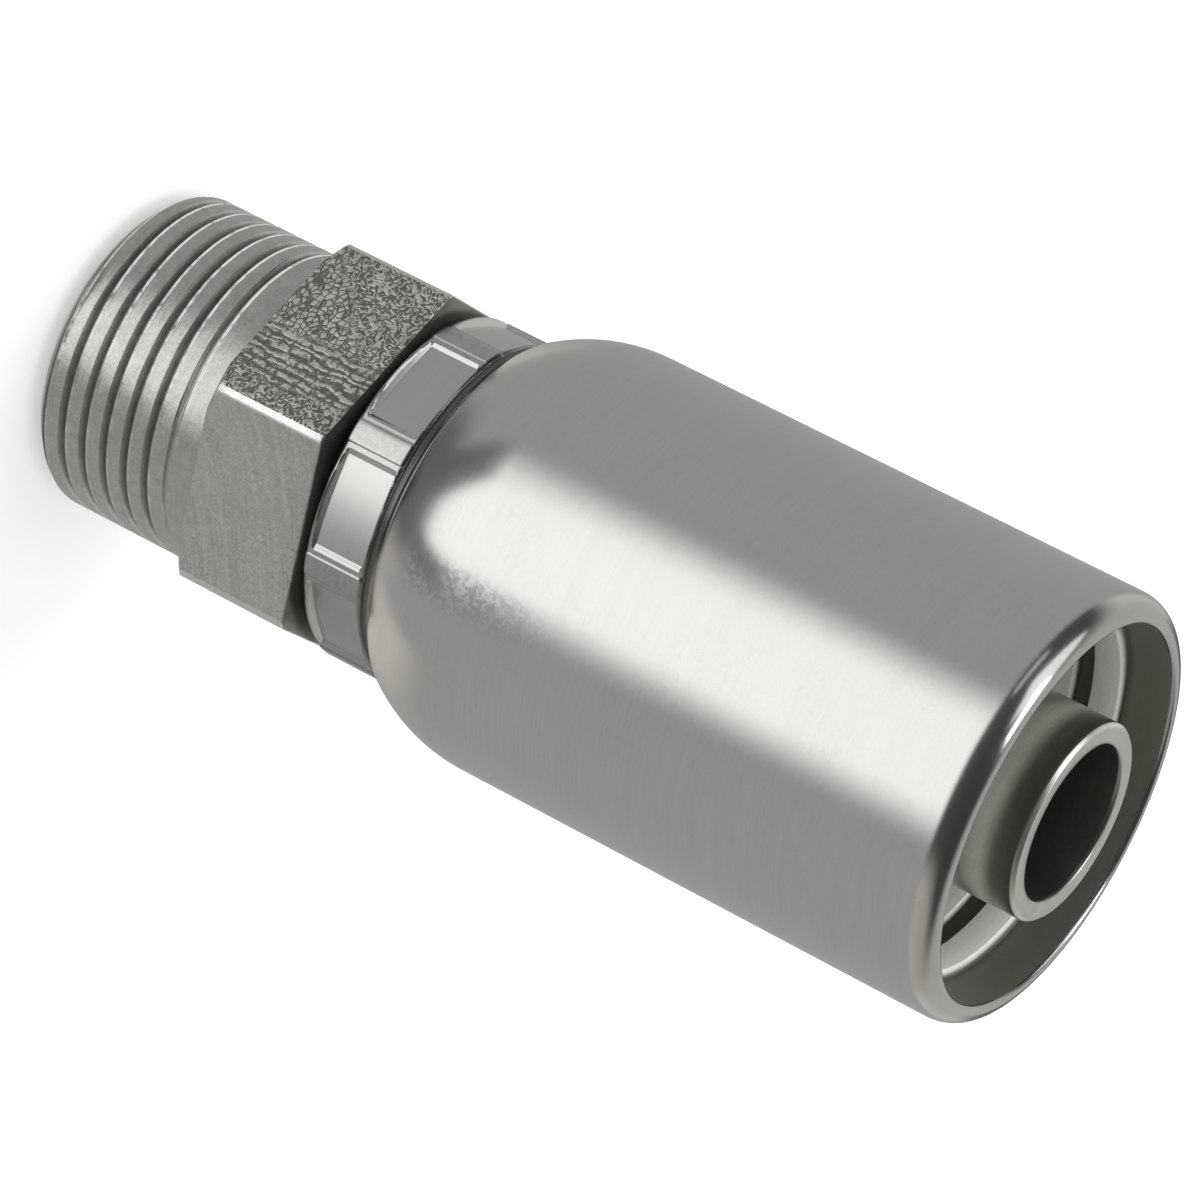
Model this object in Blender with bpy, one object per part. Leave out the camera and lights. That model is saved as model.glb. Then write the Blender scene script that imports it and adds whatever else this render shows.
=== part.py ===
"""A male face seal hose fitting for half-inch hydraulic hose, standing on its sealing end.

Three pieces share one axis, which is Z. The stem is turned from hexagon bar: a threaded end with a
sealing face and its ring groove, the hexagon, a neck and a barbed tail that goes inside the hose.
The crimp shell goes outside the hose. Its collar is pressed round the stem's neck by eight die
jaws, and its bore has rings that grip the hose. The rubber ring lies in the sealing face. The
fitting stands on that ring at height 0, with the open mouth for the hose at the top.

Radii are worked out from the thread inwards to the bore and then outwards again to the shell, and
heights from the sealing face upwards, so that a change of one size moves what depends on it.
"""

import math

import bmesh
import bpy
from mathutils import Matrix, Vector

MM = 0.001

# Between pieces that seat on each other
CLEARANCE = 0.3 * MM

# Threaded end: 13/16 inch, 16 threads to the inch
THREAD_DIAMETER = 20.6375 * MM
THREAD_PITCH = 1.5875 * MM
THREAD_END_LENGTH = 12.65 * MM
THREAD_PLAIN_LENGTH = 2.15 * MM
THREAD_DEPTH = 0.52 * MM
THREAD_ROOT_WIDTH = 0.14 * MM
THREAD_GROOVE_WIDTH = 0.67 * MM
THREAD_RUN_OUT_TURNS = 0.6

# Sealing face: rubber ring, its groove and the flat lands outside and inside the groove
RING_SECTION = 1.78 * MM
RING_STANDS_PROUD = 0.45 * MM
OUTER_LAND = 1.05 * MM
INNER_LAND = 0.95 * MM

# Hexagon, 22.2 mm across its flats
HEX_STEP = 0.79 * MM
HEX_LENGTH = 8.17 * MM
HEX_CORNER_TURNED = 0.08 * MM
HEX_CHAMFER = 0.75 * MM
HEX_CHAMFER_ANGLE = math.radians(30)

# Neck, locking shoulder and barbed tail of the stem
NECK_WALL = 3.34 * MM
SHOULDER_STEP = 1.0 * MM
SHOULDER_LENGTH = 2.6 * MM
TAIL_WALL = 1.34 * MM
TAIL_STANDS_PROUD = 0.9 * MM
TAIL_END_CHAMFER = 0.22 * MM
TAIL_PLAIN_END = 8.0 * MM
TAIL_PLAIN_ROOT = 5.0 * MM
BARB_PITCH = 4.4 * MM
BARB_HEIGHT = 0.32 * MM

# Crimp shell
COLLAR_GAP = 0.58 * MM
COLLAR_WALL = 1.7 * MM
COLLAR_LENGTH = 4.35 * MM
FLANGE_LENGTH = 3.25 * MM
SHELL_LENGTH = 46.15 * MM
SHELL_WALL = 1.61 * MM
HOSE_SPACE = 5.05 * MM
DOME_RADIUS = 11.0 * MM
DOME_STEP = 0.5 * MM
DOME_GROOVE_WIDTH = 0.9 * MM
LIP_OUTER_ROUND = 1.3 * MM
LIP_INNER_ROUND = 0.3 * MM

# Rings cut in the shell's bore
GRIP_DEPTH = 0.72 * MM
GRIP_PITCH = 3.15 * MM
GRIP_WIDTH = 1.35 * MM
GRIP_SLOPE = 0.15 * MM
MOUTH_COUNTERBORE = 3.3 * MM
PLAIN_BORE_LENGTH = 13.0 * MM

# Flats that the die jaws press into the collar
JAW_COUNT = 8
JAW_DEPTH = 0.55 * MM
JAW_WIDTH = 6.1 * MM
JAW_LENGTH = 3.5 * MM
JAW_EDGE = 0.12 * MM
JAW_TURN = math.radians(15)

# Small edge breaks
BORE_CHAMFER = 0.25 * MM
EDGE_BREAK = 0.2 * MM

# Fineness of round forms
TURN_STEPS = 56
ARC_STEPS = 8
LIP_STEPS = 4
RING_SIDES = 12
SMOOTH_ANGLE = math.radians(32)
SEAM_MERGE = 1e-6

# Sizes that follow from those above
thread_radius = THREAD_DIAMETER / 2
thread_root_radius = thread_radius - 0.6134 * THREAD_PITCH
groove_outer_radius = thread_root_radius - OUTER_LAND
groove_inner_radius = groove_outer_radius - RING_SECTION - 2 * CLEARANCE
ring_mid_radius = (groove_outer_radius + groove_inner_radius) / 2
groove_depth = RING_SECTION + CLEARANCE - RING_STANDS_PROUD
bore_radius = groove_inner_radius - INNER_LAND
hex_flat_radius = thread_radius + HEX_STEP
hex_corner_radius = hex_flat_radius / math.cos(math.pi / 6)
tail_radius = bore_radius + TAIL_WALL
neck_radius = bore_radius + NECK_WALL
shoulder_radius = neck_radius + SHOULDER_STEP
counterbore_radius = shoulder_radius + CLEARANCE
collar_radius = counterbore_radius + COLLAR_WALL
shell_bore_radius = tail_radius + HOSE_SPACE
grip_radius = shell_bore_radius + GRIP_DEPTH
shell_radius = grip_radius + SHELL_WALL
dome_foot_radius = collar_radius + DOME_STEP

face = RING_STANDS_PROUD
hex_bottom = face + THREAD_END_LENGTH
hex_top = hex_bottom + HEX_LENGTH
thread_top = hex_bottom - THREAD_PLAIN_LENGTH
collar_bottom = hex_top + COLLAR_GAP
flange_top = collar_bottom + FLANGE_LENGTH
shoulder_bottom = flange_top + CLEARANCE
shoulder_top = shoulder_bottom + SHOULDER_LENGTH
collar_top = collar_bottom + COLLAR_LENGTH
dome_foot = collar_top + DOME_GROOVE_WIDTH
mouth = collar_bottom + SHELL_LENGTH
tail_end = mouth + TAIL_STANDS_PROUD


def clear_scene():
    for leftover in list(bpy.data.objects):
        bpy.data.objects.remove(leftover, do_unlink=True)


def arc(center, radius, start, end, steps):
    """Points of (radius, height) along an arc, its angles measured from the outward direction."""
    angles = (start + (end - start) * step / steps for step in range(steps + 1))
    return [
        (center[0] + radius * math.cos(angle), center[1] + radius * math.sin(angle))
        for angle in angles
    ]


def link(name, mesh):
    piece = bpy.data.objects.new(name, mesh)
    bpy.context.scene.collection.objects.link(piece)
    return piece


def turned(name, outline):
    """A closed outline of (radius, height) points turned round Z.

    The outline runs down the outside and back up the bore, so that the faces point outwards.
    """
    mesh = bpy.data.meshes.new(name)
    corners = [(radius, 0.0, height) for radius, height in outline]
    around = [(index, (index + 1) % len(corners)) for index in range(len(corners))]
    mesh.from_pydata(corners, around, [])
    piece = link(name, mesh)
    screw = piece.modifiers.new("turn", "SCREW")
    screw.axis = "Z"
    screw.steps = TURN_STEPS
    screw.render_steps = TURN_STEPS
    screw.use_merge_vertices = True
    screw.merge_threshold = SEAM_MERGE
    return piece


def boolean(piece, operation, tool):
    """Works a tool on a piece and hides the tool."""
    cut = piece.modifiers.new(tool.name, "BOOLEAN")
    cut.operation = operation
    cut.solver = "EXACT"
    cut.object = tool
    tool.hide_render = True
    tool.display_type = "WIRE"


def finish(piece, material):
    """Turns the modifiers' result into the piece's own mesh, shades it and gives it its material."""
    graph = bpy.context.evaluated_depsgraph_get()
    made = bpy.data.meshes.new_from_object(piece.evaluated_get(graph))
    piece.modifiers.clear()
    piece.data = made
    made.materials.clear()
    made.materials.append(material)
    made.shade_smooth()
    made.set_sharp_from_angle(angle=SMOOTH_ANGLE)


def metal_or_rubber(name, color, roughness, metallic):
    material = bpy.data.materials.new(name)
    material.use_nodes = True
    shader = material.node_tree.nodes["Principled BSDF"]
    shader.inputs["Base Color"].default_value = (*color, 1.0)
    shader.inputs["Roughness"].default_value = roughness
    shader.inputs["Metallic"].default_value = metallic
    return material


def barb_outline():
    """Barbs down the tail: each swells away from the hose's end and then steps back in."""
    barbed_length = tail_end - TAIL_PLAIN_END - shoulder_top - TAIL_PLAIN_ROOT
    points = []
    for index in range(int(barbed_length / BARB_PITCH)):
        start = tail_end - TAIL_PLAIN_END - index * BARB_PITCH
        points.append((tail_radius, start))
        points.append((tail_radius + BARB_HEIGHT, start - BARB_PITCH + EDGE_BREAK))
    last = tail_end - TAIL_PLAIN_END - len(points) / 2 * BARB_PITCH
    return points + [(tail_radius, last)]


def stem_outline():
    blank_radius = hex_corner_radius - HEX_CORNER_TURNED
    chamfer_height = HEX_CHAMFER * math.tan(HEX_CHAMFER_ANGLE)
    thread_chamfer = thread_radius - thread_root_radius
    tail = [
        (tail_radius - TAIL_END_CHAMFER, tail_end),
        (tail_radius, tail_end - TAIL_END_CHAMFER),
        *barb_outline(),
    ]
    neck = [
        (tail_radius, shoulder_top),
        (shoulder_radius - EDGE_BREAK, shoulder_top),
        (shoulder_radius, shoulder_top - EDGE_BREAK),
        (shoulder_radius, shoulder_bottom),
        (neck_radius, shoulder_bottom),
        (neck_radius, hex_top),
    ]
    hexagon = [
        (blank_radius - EDGE_BREAK, hex_top),
        (blank_radius, hex_top - EDGE_BREAK),
        (blank_radius, hex_bottom + chamfer_height),
        (blank_radius - HEX_CHAMFER, hex_bottom),
    ]
    threaded_end = [
        (thread_radius, hex_bottom),
        (thread_radius, face + thread_chamfer),
        (thread_root_radius, face),
    ]
    ring_groove = [
        (groove_outer_radius, face),
        (groove_outer_radius, face + groove_depth),
        (groove_inner_radius, face + groove_depth),
        (groove_inner_radius, face),
    ]
    bore = [
        (bore_radius + BORE_CHAMFER, face),
        (bore_radius, face + BORE_CHAMFER),
        (bore_radius, tail_end - BORE_CHAMFER),
        (bore_radius + BORE_CHAMFER, tail_end),
    ]
    return tail + neck + hexagon + threaded_end + ring_groove + bore


def hexagon_bar():
    """The bar the stem is turned from, with one corner facing the front."""
    bar = bmesh.new()
    bmesh.ops.create_cone(
        bar,
        cap_ends=True,
        segments=6,
        radius1=hex_corner_radius,
        radius2=hex_corner_radius,
        depth=2 * tail_end,
        matrix=Matrix.Translation((0, 0, tail_end / 2)),
    )
    corner = max(bar.verts, key=lambda vertex: vertex.co.x).co
    to_front = -math.pi / 2 - math.atan2(corner.y, corner.x)
    bmesh.ops.rotate(bar, verts=bar.verts, matrix=Matrix.Rotation(to_front, 3, "Z"))
    mesh = bpy.data.meshes.new("hexagon_bar")
    bar.to_mesh(mesh)
    bar.free()
    return link("hexagon_bar", mesh)


def thread_section(angle, height, lift):
    """The groove's cross-section at one place of its helix, reaching out past the thread's crests.

    The lift takes it outwards where the groove runs out.
    """
    root = thread_radius - THREAD_DEPTH + lift
    outer = root + THREAD_DEPTH + CLEARANCE
    root_half = THREAD_ROOT_WIDTH / 2
    flank = (THREAD_GROOVE_WIDTH / 2 - root_half) / THREAD_DEPTH
    outer_half = root_half + flank * (THREAD_DEPTH + CLEARANCE)
    section = [
        (root, -root_half),
        (outer, -outer_half),
        (outer, outer_half),
        (root, root_half),
    ]
    return [
        (radius * math.cos(angle), radius * math.sin(angle), height + across)
        for radius, across in section
    ]


def thread_groove():
    """The right-hand helical groove between the thread's crests, as a solid that is cut away.

    It comes in below the sealing face and runs out before the hexagon.
    """
    turns = (thread_top - face + THREAD_GROOVE_WIDTH) / THREAD_PITCH
    last = int(turns * TURN_STEPS)
    groove = bmesh.new()
    before = None
    for step in range(last + 1):
        turns_left = (last - step) / TURN_STEPS
        angle = -turns_left * 2 * math.pi
        height = thread_top - turns_left * THREAD_PITCH
        run_out = max(0.0, 1.0 - turns_left / THREAD_RUN_OUT_TURNS)
        lift = run_out * run_out * (THREAD_DEPTH + EDGE_BREAK)
        corners = [groove.verts.new(place) for place in thread_section(angle, height, lift)]
        if before is None:
            groove.faces.new(corners)
        else:
            for index in range(4):
                beside = (index + 1) % 4
                groove.faces.new(
                    (before[index], before[beside], corners[beside], corners[index])
                )
        before = corners
    groove.faces.new(reversed(before))
    bmesh.ops.recalc_face_normals(groove, faces=groove.faces)
    mesh = bpy.data.meshes.new("thread_groove")
    groove.to_mesh(mesh)
    groove.free()
    return link("thread_groove", mesh)


def make_stem():
    stem = turned("stem", stem_outline())
    bar = hexagon_bar()
    groove = thread_groove()
    boolean(stem, "INTERSECT", bar)
    boolean(stem, "DIFFERENCE", groove)
    finish(stem, metal_or_rubber("plated_steel", (0.52, 0.52, 0.5), 0.34, 1.0))
    for tool in (bar, groove):
        bpy.data.objects.remove(tool, do_unlink=True)


def dome_outline():
    """The arc that closes the shell's body down to its collar, from the body to the dome's foot."""
    drop = shell_radius - dome_foot_radius
    turn = math.acos(1 - drop / DOME_RADIUS)
    top = dome_foot + DOME_RADIUS * math.sin(turn)
    return arc((shell_radius - DOME_RADIUS, top), DOME_RADIUS, 0.0, -turn, ARC_STEPS)


def grip_outline(bottom, top):
    """The bore from the collar end up to the mouth, with square rings cut round it."""
    rings = int((top - bottom - PLAIN_BORE_LENGTH) / GRIP_PITCH)
    first = top - rings * GRIP_PITCH
    points = []
    for index in range(rings):
        low = first + index * GRIP_PITCH
        points += [
            (shell_bore_radius, low),
            (grip_radius, low + GRIP_SLOPE),
            (grip_radius, low + GRIP_WIDTH - GRIP_SLOPE),
            (shell_bore_radius, low + GRIP_WIDTH),
        ]
    return points


def shell_outline():
    counterbore_top = shoulder_top + CLEARANCE
    bore_bottom = counterbore_top + shell_bore_radius - counterbore_radius
    mouth_counterbore = mouth - MOUTH_COUNTERBORE
    outer_center = (shell_radius - LIP_OUTER_ROUND, mouth - LIP_OUTER_ROUND)
    inner_center = (grip_radius + LIP_INNER_ROUND, mouth - LIP_INNER_ROUND)
    groove_center = (collar_radius, (collar_top + dome_foot) / 2)
    outside = [
        *arc(outer_center, LIP_OUTER_ROUND, math.pi / 2, 0.0, LIP_STEPS),
        *dome_outline(),
        *arc(groove_center, DOME_GROOVE_WIDTH / 2, math.pi / 2, math.pi * 3 / 2, LIP_STEPS),
        (collar_radius, collar_bottom + EDGE_BREAK),
        (collar_radius - EDGE_BREAK, collar_bottom),
    ]
    inside = [
        (neck_radius + CLEARANCE, collar_bottom),
        (neck_radius + CLEARANCE, flange_top),
        (counterbore_radius, flange_top),
        (counterbore_radius, counterbore_top),
        (shell_bore_radius, bore_bottom),
        *grip_outline(bore_bottom, mouth_counterbore),
        (shell_bore_radius, mouth_counterbore),
        (grip_radius, mouth_counterbore + GRIP_SLOPE),
    ]
    lip = arc(inner_center, LIP_INNER_ROUND, math.pi, math.pi / 2, LIP_STEPS // 2)
    return outside + inside + lip


def die_jaws():
    """Eight blocks set round the collar, their edges bevelled, that press its flats."""
    jaws = bmesh.new()
    size = Vector((2 * JAW_DEPTH, JAW_WIDTH, JAW_LENGTH))
    height = collar_bottom + COLLAR_LENGTH / 2
    for index in range(JAW_COUNT):
        turn = -math.pi / 2 + JAW_TURN + index * 2 * math.pi / JAW_COUNT
        place = (
            Matrix.Rotation(turn, 4, "Z")
            @ Matrix.Translation((collar_radius, 0, height))
            @ Matrix.Diagonal((*size, 1))
        )
        bmesh.ops.create_cube(jaws, size=1.0, matrix=place)
    mesh = bpy.data.meshes.new("die_jaws")
    jaws.to_mesh(mesh)
    jaws.free()
    tool = link("die_jaws", mesh)
    edges = tool.modifiers.new("edges", "BEVEL")
    edges.width = JAW_EDGE
    edges.segments = 1
    return tool


def make_shell():
    shell = turned("shell", shell_outline())
    jaws = die_jaws()
    boolean(shell, "DIFFERENCE", jaws)
    finish(shell, metal_or_rubber("polished_steel", (0.6, 0.59, 0.57), 0.26, 1.0))
    bpy.data.objects.remove(jaws, do_unlink=True)


def make_face_seal():
    """The rubber ring, its lowest points at height 0."""
    middle = (ring_mid_radius, RING_SECTION / 2)
    section = arc(middle, RING_SECTION / 2, math.pi / 2, -math.pi * 3 / 2, RING_SIDES)
    seal = turned("face_seal", section[:-1])
    finish(seal, metal_or_rubber("black_rubber", (0.02, 0.02, 0.02), 0.6, 0.0))


def main():
    clear_scene()
    make_stem()
    make_shell()
    make_face_seal()


main()
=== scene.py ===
"""Looks of a male face seal hose fitting for half-inch hydraulic hose.

The packed model is loaded as a fixed frame. Each of its three nodes is stood for by a finely turned
piece: the stem with its right-hand thread, hexagon and barbed tail, the crimp shell with its pressed
collar, dome and ringed bore, and the rubber ring in the sealing face. All of them share the axis Z.

Every piece is built from rings of points round Z. A ring has a radius and a height that may both
change round the piece, which gives the thread its helix, the hexagon its flats and the collar its
die marks. Angles called turn are measured from the front, which is -Y, towards +X.
"""

import math

import bmesh
import bpy
import numpy as np
from bpy.props import FloatProperty, FloatVectorProperty, IntProperty, PointerProperty
from mathutils import Matrix, Vector


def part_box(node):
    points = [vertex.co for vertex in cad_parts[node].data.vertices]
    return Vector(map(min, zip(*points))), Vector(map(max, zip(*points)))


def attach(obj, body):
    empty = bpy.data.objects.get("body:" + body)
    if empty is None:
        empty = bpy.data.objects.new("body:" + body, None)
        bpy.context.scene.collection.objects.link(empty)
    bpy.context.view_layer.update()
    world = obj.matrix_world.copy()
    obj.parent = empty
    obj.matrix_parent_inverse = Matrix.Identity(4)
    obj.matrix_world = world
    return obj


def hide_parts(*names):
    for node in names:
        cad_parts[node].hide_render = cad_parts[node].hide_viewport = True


bl_info = {
    "name": "Male face seal hose fitting",
    "version": (1, 0, 0),
    "blender": (4, 5, 0),
    "location": "3D View > Sidebar > Hose fitting",
    "description": "Builds the finely turned pieces of a male face seal hose fitting",
    "category": "Mesh",
}

MM = 0.001
FULL_TURN = 2 * math.pi
MERGE_DISTANCE = 1.2e-6
SMOOTH_ANGLE = math.radians(40)

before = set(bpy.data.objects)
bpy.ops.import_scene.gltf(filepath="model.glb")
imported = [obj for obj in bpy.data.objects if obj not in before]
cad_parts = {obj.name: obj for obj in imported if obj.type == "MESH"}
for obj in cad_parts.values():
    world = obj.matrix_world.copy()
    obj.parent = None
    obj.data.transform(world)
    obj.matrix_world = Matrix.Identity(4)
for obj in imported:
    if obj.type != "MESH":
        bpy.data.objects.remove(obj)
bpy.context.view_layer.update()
stem_low, stem_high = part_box("stem")
shell_low, shell_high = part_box("shell")
seal_low, seal_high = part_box("face_seal")


def length(name, description, default):
    return FloatProperty(
        name=name, description=description, default=default, min=0.0, precision=6, unit="LENGTH"
    )


def color(name, description, default):
    return FloatVectorProperty(
        name=name, description=description, default=default, min=0.0, max=1.0, subtype="COLOR"
    )


def factor(name, description, default):
    return FloatProperty(
        name=name, description=description, default=default, min=0.0, max=1.0, subtype="FACTOR"
    )


class StemSizes(bpy.types.PropertyGroup):
    """Sizes of the stem's threaded end, hexagon, neck and barbed tail."""

    thread_radius: length("Thread radius", "Outside radius of the thread", 10.31875 * MM)
    thread_pitch: length("Thread pitch", "Rise of the thread in one turn", 1.5875 * MM)
    thread_depth: length("Thread depth", "Depth of the thread's grooves", 0.52 * MM)
    thread_end: length("Thread end", "Plain length between the thread and the hexagon", 2.15 * MM)
    thread_land: factor("Thread crest", "Share of the pitch that stays flat on the crest", 0.62)
    thread_run_out: FloatProperty(
        name="Thread run-out", description="Turns in which the thread rises out of the metal", default=0.6
    )
    face_chamfer: length("Face chamfer", "Chamfer at the sealing end of the thread", 0.97 * MM)
    groove_outer: length("Groove outside", "Outer radius of the ring's groove", 8.295 * MM)
    groove_inner: length("Groove inside", "Inner radius of the ring's groove", 5.915 * MM)
    groove_depth: length("Groove depth", "Depth of the ring's groove", 1.63 * MM)
    bore_radius: length("Bore radius", "Radius of the bore for the fluid", 4.965 * MM)
    hex_bottom: length("Hexagon height", "Height of the hexagon's face by the thread", 13.1 * MM)
    hex_length: length("Hexagon length", "Length of the hexagon", 8.17 * MM)
    hex_chamfer: length("Hexagon chamfer", "Chamfer turned on the corners by the thread", 0.75 * MM)
    corner_land: length("Corner land", "Depth that is turned off the six corners", 0.125 * MM)
    neck_radius: length("Neck radius", "Radius of the neck inside the collar", 8.305 * MM)
    shoulder_radius: length("Shoulder radius", "Radius of the locking shoulder", 9.305 * MM)
    shoulder_bottom: length("Shoulder height", "Height of the shoulder's lower face", 25.4 * MM)
    shoulder_length: length("Shoulder length", "Length of the locking shoulder", 2.6 * MM)
    tail_radius: length("Tail radius", "Outside radius of the tail", 6.305 * MM)
    tail_chamfer: length("Tail chamfer", "Chamfer at the tail's end", 0.22 * MM)
    tail_plain: length("Plain tail", "Length without barbs at the tail's end", 8.0 * MM)
    barb_pitch: length("Barb pitch", "Distance between the barbs", 4.4 * MM)
    barb_height: length("Barb height", "Height of the barbs", 0.32 * MM)
    edge: length("Edge break", "Rounding of the stem's turned edges", 0.09 * MM)


class ShellSizes(bpy.types.PropertyGroup):
    """Sizes of the crimp shell and of the marks that the crimping dies leave on its collar."""

    collar_radius: length("Collar radius", "Outside radius of the collar", 11.305 * MM)
    collar_length: length("Collar length", "Length of the collar", 4.35 * MM)
    collar_edge: length("Collar edge", "Rounding of the collar's edge by the dome", 0.42 * MM)
    collar_bore: length("Collar bore", "Radius of the hole round the stem's neck", 8.605 * MM)
    flange_length: length("Flange length", "Length of that hole", 3.25 * MM)
    counterbore_radius: length("Counterbore radius", "Room for the stem's shoulder", 9.605 * MM)
    counterbore_top: length("Counterbore top", "Height at which that room ends", 28.3 * MM)
    bore_radius: length("Bore radius", "Radius of the bore for the hose", 11.355 * MM)
    grip_radius: length("Ring radius", "Radius of the grooves cut in the bore", 12.075 * MM)
    grip_pitch: length("Ring pitch", "Distance between the grooves in the bore", 3.15 * MM)
    grip_width: length("Ring width", "Width of the grooves in the bore", 1.35 * MM)
    grip_slope: length("Ring slope", "Length of the grooves' sloping walls", 0.15 * MM)
    grip_count: IntProperty(
        name="Ring count", description="Number of grooves cut in the bore", default=6, min=0
    )
    mouth_counterbore: length("Mouth counterbore", "Depth of the wider mouth", 3.3 * MM)
    lip_round: length("Lip round", "Outer rounding of the mouth", 1.6 * MM)
    lip_inner_round: length("Inner lip round", "Inner rounding of the mouth", 0.3 * MM)
    dome_radius: length("Dome radius", "Radius of the dome's arc", 11.0 * MM)
    dome_step: length("Dome step", "How far the dome's foot stands out from the collar", 0.5 * MM)
    dome_groove: length("Dome groove", "Width of the groove between collar and dome", 0.9 * MM)
    jaw_depth: length("Die mark depth", "Depth of a die mark at its middle", 0.55 * MM)
    jaw_length: length("Die mark length", "Length of a die mark along the axis", 3.4 * MM)
    jaw_width: FloatProperty(
        name="Die mark width",
        description="Angle that the floor of one die mark covers",
        default=math.radians(31.0),
        unit="ROTATION",
    )
    jaw_turn: FloatProperty(
        name="Die mark turn",
        description="Angle from the front to the middle of the nearest die mark",
        default=math.radians(15.5),
        unit="ROTATION",
    )
    jaw_count: IntProperty(
        name="Die marks", description="Number of die marks round the collar", default=8, min=3
    )
    rib_width: FloatProperty(
        name="Rib width",
        description="Angle that the rib between two die marks covers",
        default=math.radians(7.4),
        unit="ROTATION",
    )
    rib_step: length("Rib step", "How far the rib stands out from the metal beside it", 0.09 * MM)


class Finishes(bpy.types.PropertyGroup):
    """Colours and gloss of the plated steel and the rubber."""

    shell_color: color("Shell colour", "Bright zinc on the shell", (0.67, 0.665, 0.645))
    shell_roughness: factor("Shell roughness", "Roughness of the turned shell", 0.2)
    turned_grain: factor("Turned grain", "How much rougher turned metal is along its axis", 0.65)
    # Colour of the bluish patch above the collar: partly stain, partly painted dark reflection.
    stain_and_reflection_color: color("Stain colour", "Bluish stains near the collar", (0.3, 0.35, 0.41))
    thread_color: color("Thread colour", "Plating on the thread", (0.56, 0.565, 0.535))
    thread_roughness: factor("Thread roughness", "Roughness of the thread", 0.25)
    hexagon_color: color("Hexagon colour", "Plating on the hexagon", (0.63, 0.63, 0.59))
    hexagon_roughness: factor("Hexagon roughness", "Roughness of the hexagon", 0.48)
    # Bright worn metal on the hexagon's corners; on the thread it colours painted highlight lines.
    wear_and_highlight_color: color("Worn colour", "Bright metal along the hexagon's corners", (0.86, 0.86, 0.84))
    forged_color: color("Forged colour", "Hollows of the forged faces", (0.25, 0.25, 0.225))
    ridge_color: color("Ridge colour", "Ridges of the forged faces", (0.98, 0.975, 0.92))
    tail_color: color("Tail colour", "Plating on the tail and in the bore", (0.62, 0.62, 0.575))
    tail_roughness: factor("Tail roughness", "Roughness of the tail", 0.3)
    land_color: color("Ring colour", "Satin zinc on the rings in the shell's bore", (0.9, 0.9, 0.86))
    # Painted shade in the grooves of the bore.
    hollow_shade_color: color("Hollow colour", "Dull plating in the grooves of that bore", (0.15, 0.15, 0.13))
    rubber_color: color("Rubber colour", "Black nitrile", (0.02, 0.02, 0.02))
    rubber_roughness: factor("Rubber roughness", "Roughness of the rubber", 0.55)


class StageSettings(bpy.types.PropertyGroup):
    """Floor, light and camera."""

    floor_color: color("Floor colour", "Pale floor", (0.74, 0.74, 0.74))
    floor_size: length("Floor size", "Side of the floor", 6.0)
    camera_distance: length("Camera distance", "From the camera to its target", 402.97 * MM)
    camera_height: FloatProperty(
        name="Camera elevation",
        description="Angle of the camera above the horizon",
        default=math.radians(24.5),
        unit="ROTATION",
    )
    camera_roll: FloatProperty(
        name="Camera roll",
        description="Slope of the fitting's axis in the picture, downwards to the right",
        default=math.radians(27.15),
        unit="ROTATION",
    )
    camera_target: FloatVectorProperty(
        name="Camera target",
        description="Point that the camera looks at",
        default=(0.98 * MM, 0.0, 36.0 * MM),
        subtype="TRANSLATION",
        unit="LENGTH",
    )
    camera_lens: FloatProperty(
        name="Focal length",
        description="Focal length in millimetres on a 36 mm wide sensor",
        default=204.38,
    )


# Rings and outlines


def fillet(corners, steps=4):
    """An outline of (radius, height) points with its corners rounded.

    A corner is (radius, height) or (radius, height, rounding).
    """
    points = []
    for index, corner in enumerate(corners):
        here = Vector(corner[:2])
        rounding = corner[2] if len(corner) > 2 else 0.0
        if not rounding or index in (0, len(corners) - 1):
            points.append(tuple(here))
            continue
        before = (Vector(corners[index - 1][:2]) - here).normalized()
        after = (Vector(corners[index + 1][:2]) - here).normalized()
        half = before.angle(after) / 2
        reach = rounding / math.tan(half)
        center = here + (before + after).normalized() * (rounding / math.sin(half))
        start, end = here + before * reach - center, here + after * reach - center
        sweep = start.angle_signed(end)
        for step in range(steps + 1):
            turned = start.copy()
            turned.rotate(Matrix.Rotation(-sweep * step / steps, 2))
            points.append(tuple(center + turned))
    return points


def arc(center, radius, start, end, steps):
    """Points of (radius, height) along an arc, its angles measured from the outward direction."""
    angles = (start + (end - start) * step / steps for step in range(steps + 1))
    return [
        (center[0] + radius * math.cos(angle), center[1] + radius * math.sin(angle))
        for angle in angles
    ]


def spread(start, end, steps):
    """Numbers between two others, without those two."""
    return [start + (end - start) * step / steps for step in range(1, steps)]


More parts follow.
